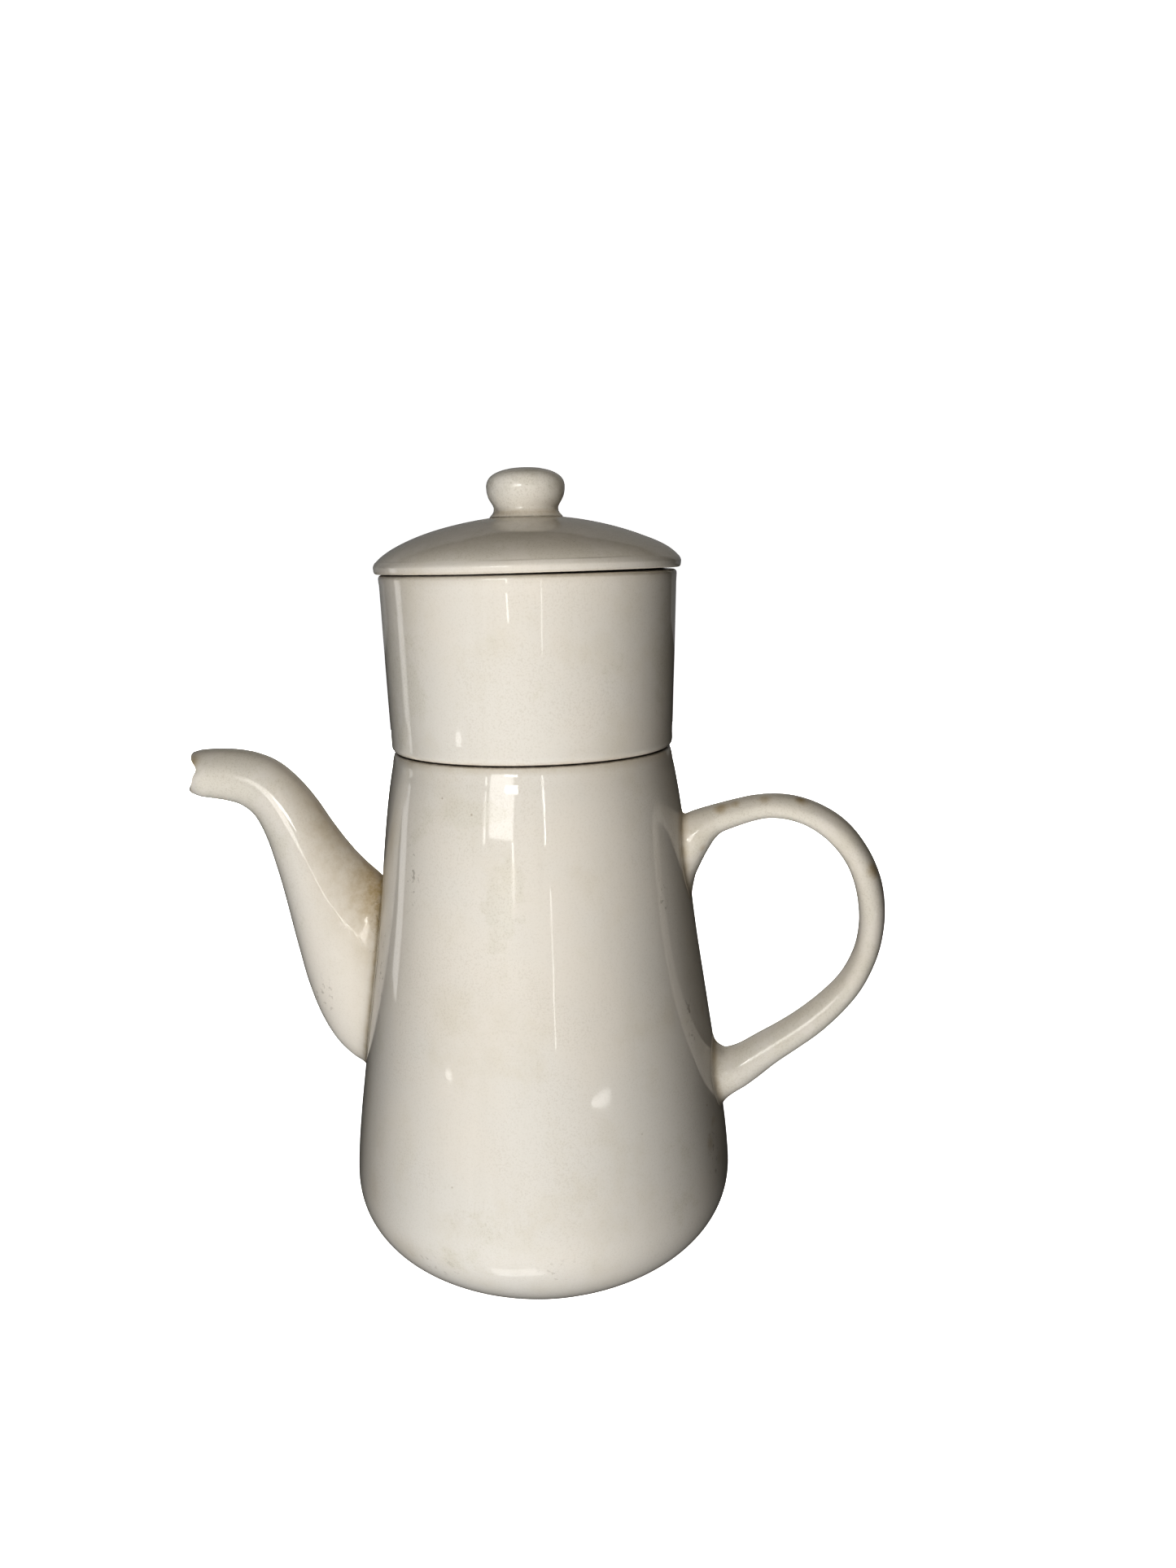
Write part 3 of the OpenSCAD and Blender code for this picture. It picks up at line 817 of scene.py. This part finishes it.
def lid_knob():
    """The lid's knob, in a paler glaze than the rest: partly its own whiter tone, partly painted
    light.
    """
    z, top = DOME_Z - KNOB_BED, DOME_Z + KNOB_H
    stem_r = KNOB_R - 2.4
    foot = rounded([(10, z, 0), (12.7, z, 0.2), (12.4, z + 0.9, 0.5), (11.2, z + 2.2, 0.9),
                    (stem_r, z + 3.4, 0)])[:-1]
    stem = cubic([(stem_r, z + 3.4), (stem_r, z + 5.6), (KNOB_R, z + 6.2), (KNOB_R, z + 10.8)], 22)
    cap = cubic([(KNOB_R, z + 10.8), (KNOB_R, top - 2.7), (KNOB_R - 3.55, top), (0, top)], 26)
    profile = np.vstack([[(0, z)], foot, stem[1:], cap[1:]])
    pts, faces = revolve(even(profile, 0.9), 128)
    r = np.hypot(pts[:, 0], pts[:, 1])
    body = (pts[:, 2] > z + 2.5) & (r < KNOB_R - 0.05) & (pts[:, 2] < top - 0.3)
    pts[:, 2] += np.where(body, wobble(pts, 0.16, 0.12, 41) - 0.05, 0)

    height = pts[:, 2] - z
    # the knob is darker round its foot, just above the dome
    stain_and_shade = 0.35 * falloff(np.abs(height - 2.0), 1.4)
    dirt = 0.35 * falloff(np.abs(height - 0.6), 0.5)
    sand = 0.55 * falloff(np.abs(height - 13), 9)
    make_mesh("knob_on_lid", pts, faces, "lid", ["lid_knob"], PALE_LIT_GLAZE,
              {"stain_and_shade": stain_and_shade, "dirt": dirt, "sand": sand})


def spreader_knob():
    """The knob that lifts the spreader out."""
    z, top = SPREADER_TOP_Z - KNOB_BED, SPREADER_TOP_Z + SPREADER_KNOB_H
    knob_r, foot_r, stem_r = SPREADER_KNOB_R, 8.4, 6.1
    foot = rounded([(5, z, 0), (foot_r, z, 0.3), (foot_r, z + 0.9, 0.4), (6.4, z + 1.7, 0.8),
                    (stem_r, z + 2.4, 0)])[:-1]
    stem = cubic([(stem_r, z + 2.4), (5.4, z + 6), (knob_r, z + 8), (knob_r, z + 11.5)], 16)
    cap = cubic([(knob_r, z + 11.5), (knob_r, z + 15), (6, top), (0, top)], 18)
    profile = np.vstack([[(0, z)], foot, stem[1:], cap[1:]])
    pts, faces = revolve(even(profile, 0.9), 96)
    stain_and_shade = 0.30 + 0.4 * falloff(np.abs(pts[:, 2] - (z + 1.4)), 2.0)
    make_mesh("knob_on_spreader", pts, faces, "spreader", ["spreader_knob"], INNER,
              {"stain_and_shade": stain_and_shade})


def keep_cad(node):
    """A CAD node whose shape is right: softened edges and the stained glaze."""
    obj = frame["nodes"][node]
    obj.data.materials.clear()
    obj.data.materials.append(INNER)
    soft = obj.modifiers.new("soft_edges", "BEVEL")
    soft.width, soft.segments = 0.3 * MM, 2
    soft.limit_method, soft.angle_limit = "ANGLE", math.radians(50)


pot_body()
spout()
handle()
filter_chamber()
lid()
lid_knob()
spreader_knob()
for cad_node in ("filter_floor", "water_spreader"):
    keep_cad(cad_node)


# ---------------------------------------------------------------- floor, light and camera

TURN = Matrix.Rotation(math.radians(CAMERA_SIDE + 90), 3, "Z")
MIDDLE_Z, NEAR, FAR = 0.14, 0.6, 1.5
WHITE, WARM, COOL = (1, 1, 1), (1.0, 0.93, 0.82), (0.948, 0.972, 1.0)
FLOOR_COLOUR, DIM_WARM = (0.86, 0.86, 0.85), (1.0, 0.95, 0.87)
# the floor's section as (r, z), flat and then curving up
FLOOR = ((0.4, 0.0), (1.6, 0.0), (2.2, 0.02), (2.7, 0.12), (3.1, 0.35), (3.35, 0.8),
         (3.45, 1.6), (3.45, 3.2))
# the camera before TURN, which brings it round to its side of the pot, and its angles in degrees
CAMERA_AT, CAMERA_LENS = (0, -0.4838, 0.2549), 32.0
YAW, PITCH, ROLL = 2.254, -9.595, -1.257
# how much steeper the photograph's tones run than plain ones
CONTRAST = 1.5


def plain(name, colour, roughness, glow):
    """A material with no pattern, which glows white."""
    mat = bpy.data.materials.new(name)
    mat.use_nodes = True
    bsdf = mat.node_tree.nodes["Principled BSDF"]
    bsdf.inputs["Base Color"].default_value = (*colour, 1)
    bsdf.inputs["Roughness"].default_value = roughness
    bsdf.inputs["Specular IOR Level"].default_value = 0.2
    bsdf.inputs["Emission Color"].default_value = (*WHITE, 1)
    bsdf.inputs["Emission Strength"].default_value = glow
    return mat


def floor():
    """A pale floor that curves up into a backdrop all round, far from the object."""
    around = 96
    verts = [(r * math.cos(2 * math.pi * j / around), r * math.sin(2 * math.pi * j / around), z)
             for r, z in FLOOR for j in range(around)]
    verts.append((0, 0, 0))
    faces = grid_faces(len(FLOOR), around, flip=True)
    faces += [(len(verts) - 1, j, (j + 1) % around) for j in range(around)]
    mesh = bpy.data.meshes.new("floor")
    mesh.from_pydata(verts, [], faces)
    mesh.polygons.foreach_set("use_smooth", [True] * len(faces))
    mesh.materials.append(plain("pale_floor", FLOOR_COLOUR, 0.7, 1.0))
    obj = bpy.data.objects.new("floor", mesh)
    # the object is lit by the lamps alone, so its edges stay dark against the floor
    obj.visible_diffuse = obj.visible_glossy = obj.visible_shadow = False
    bpy.context.scene.collection.objects.link(obj)


def aimed(obj, azimuth, elevation, distance):
    """Puts obj round the object, facing its middle. Azimuth 0 is at the camera's side and
    positive to its right."""
    a, e = math.radians(azimuth), math.radians(elevation)
    place = Vector((math.sin(a) * math.cos(e), -math.cos(a) * math.cos(e), math.sin(e)))
    obj.location = TURN @ (Vector((0, 0, MIDDLE_Z)) + place * distance)
    obj.rotation_mode = "QUATERNION"
    obj.rotation_quaternion = (TURN @ -place).to_track_quat("-Z", "Y")
    obj.visible_camera = False
    bpy.context.scene.collection.objects.link(obj)


def soft_box(name, azimuth, elevation, size, power, distance=FAR, colour=WHITE):
    """A soft light that shapes the form, with no mirror image of its own."""
    data = bpy.data.lights.new(name, "AREA")
    data.shape, data.size, data.size_y = "RECTANGLE", size[0], size[1]
    data.energy, data.color = power, colour
    obj = bpy.data.objects.new(name, data)
    aimed(obj, azimuth, elevation, distance)
    obj.visible_glossy = False


def sheet(name, azimuth, elevation, size, glow, distance=FAR, corners=4):
    """A glowing sheet that the glaze mirrors, such as a window or a lit wall."""
    turn = [2 * math.pi * (k + 0.5) / corners for k in range(corners)]
    # a unit circle's polygon is this wide between opposite sides
    reach = math.cos(math.pi / corners) * 2
    verts = [(size[0] * math.cos(t) / reach, size[1] * math.sin(t) / reach, 0) for t in turn]
    mesh = bpy.data.meshes.new(name)
    mesh.from_pydata(verts, [], [tuple(range(corners))])
    mesh.materials.append(plain(name, (0, 0, 0), 1.0, glow))
    mesh.materials[0].cycles.emission_sampling = "NONE"
    obj = bpy.data.objects.new(name, mesh)
    aimed(obj, azimuth, elevation, distance)
    obj.visible_diffuse = obj.visible_shadow = False


def camera():
    """A camera at the photograph's angle."""
    yaw, pitch, roll = map(math.radians, (YAW, PITCH, ROLL))
    ahead = Vector((math.sin(yaw) * math.cos(pitch), math.cos(yaw) * math.cos(pitch),
                    math.sin(pitch)))
    right = Vector((math.cos(yaw), -math.sin(yaw), 0))
    up = right.cross(ahead)
    right, up = (math.cos(roll) * right + math.sin(roll) * up,
                 -math.sin(roll) * right + math.cos(roll) * up)
    turn = Matrix((right, up, -ahead)).transposed()
    data = bpy.data.cameras.new("camera")
    data.sensor_fit, data.sensor_width, data.lens = "AUTO", 36.0, CAMERA_LENS
    data.clip_start, data.clip_end = 0.01, 50
    obj = bpy.data.objects.new("camera", data)
    obj.matrix_world = (Matrix.Translation(TURN @ Vector(CAMERA_AT))
                        @ (TURN @ turn).to_4x4())
    bpy.context.scene.collection.objects.link(obj)
    bpy.context.scene.camera = obj


def world():
    """Dim warm light from all round."""
    w = bpy.data.worlds.new("world")
    w.use_nodes = True
    bg = w.node_tree.nodes["Background"]
    bg.inputs["Color"].default_value = (*DIM_WARM, 1)
    bg.inputs["Strength"].default_value = 0.05
    w.cycles.sampling_method = "NONE"
    bpy.context.scene.world = w


floor()
world()
camera()
# a near light from the left front, some of it thrown up from the table
soft_box("key", -19, -3, (0.16, 0.16), 2.05, NEAR, COOL)
soft_box("fill", 0, 34, (0.16, 0.16), 0.75, NEAR, WARM)
soft_box("table", -8, -60, (0.3, 0.3), 12.0)
soft_box("above", 14, 60, (0.3, 0.3), 3.3)
# the left, the back and the far side
soft_box("left_side", -110, -15, (0.2, 0.3), 0.145, NEAR, WARM)
soft_box("back", 180, 10, (1.0, 1.0), 24)
soft_box("back_side", 140, 5, (0.6, 0.8), 2.0, colour=WARM)
# what the glaze mirrors: a window with its edge, slit and gap, a lit strip at the left,
# the room behind and above, the table and three lamps
sheet("window", -24.6, 10.3, (0.47, 0.36), 3.9)
sheet("window_edge", -37.0, 7, (0.04, 0.24), 4.5)
sheet("window_slit", -15.8, 0.2, (0.03, 0.16), 5)
sheet("window_gap", 6.7, 8.5, (0.03, 0.30), 8)
sheet("chamber_gap", 9.3, -3.4, (0.02, 0.08), 4)
sheet("left_strip", -116, -4, (0.22, 0.37), 1.4)
sheet("room_behind", 180, 20, (2.4, 1.2), 0.28)
sheet("ceiling", 15, 55, (0.9, 0.9), 0.55)
sheet("table_glint", -30, -68, (0.5, 0.3), 1.2)
sheet("lamp_near", -17, 16, (0.10, 0.05), 9, NEAR)
sheet("lamp_left", -60, -9, (0.14, 0.018), 3, corners=24)
sheet("lamp_low", 34.5, -12, (0.13, 0.012), 3.5, NEAR, 24)
bpy.context.scene.view_settings.view_transform = "Standard"
bpy.context.scene.view_settings.gamma = 1 / CONTRAST
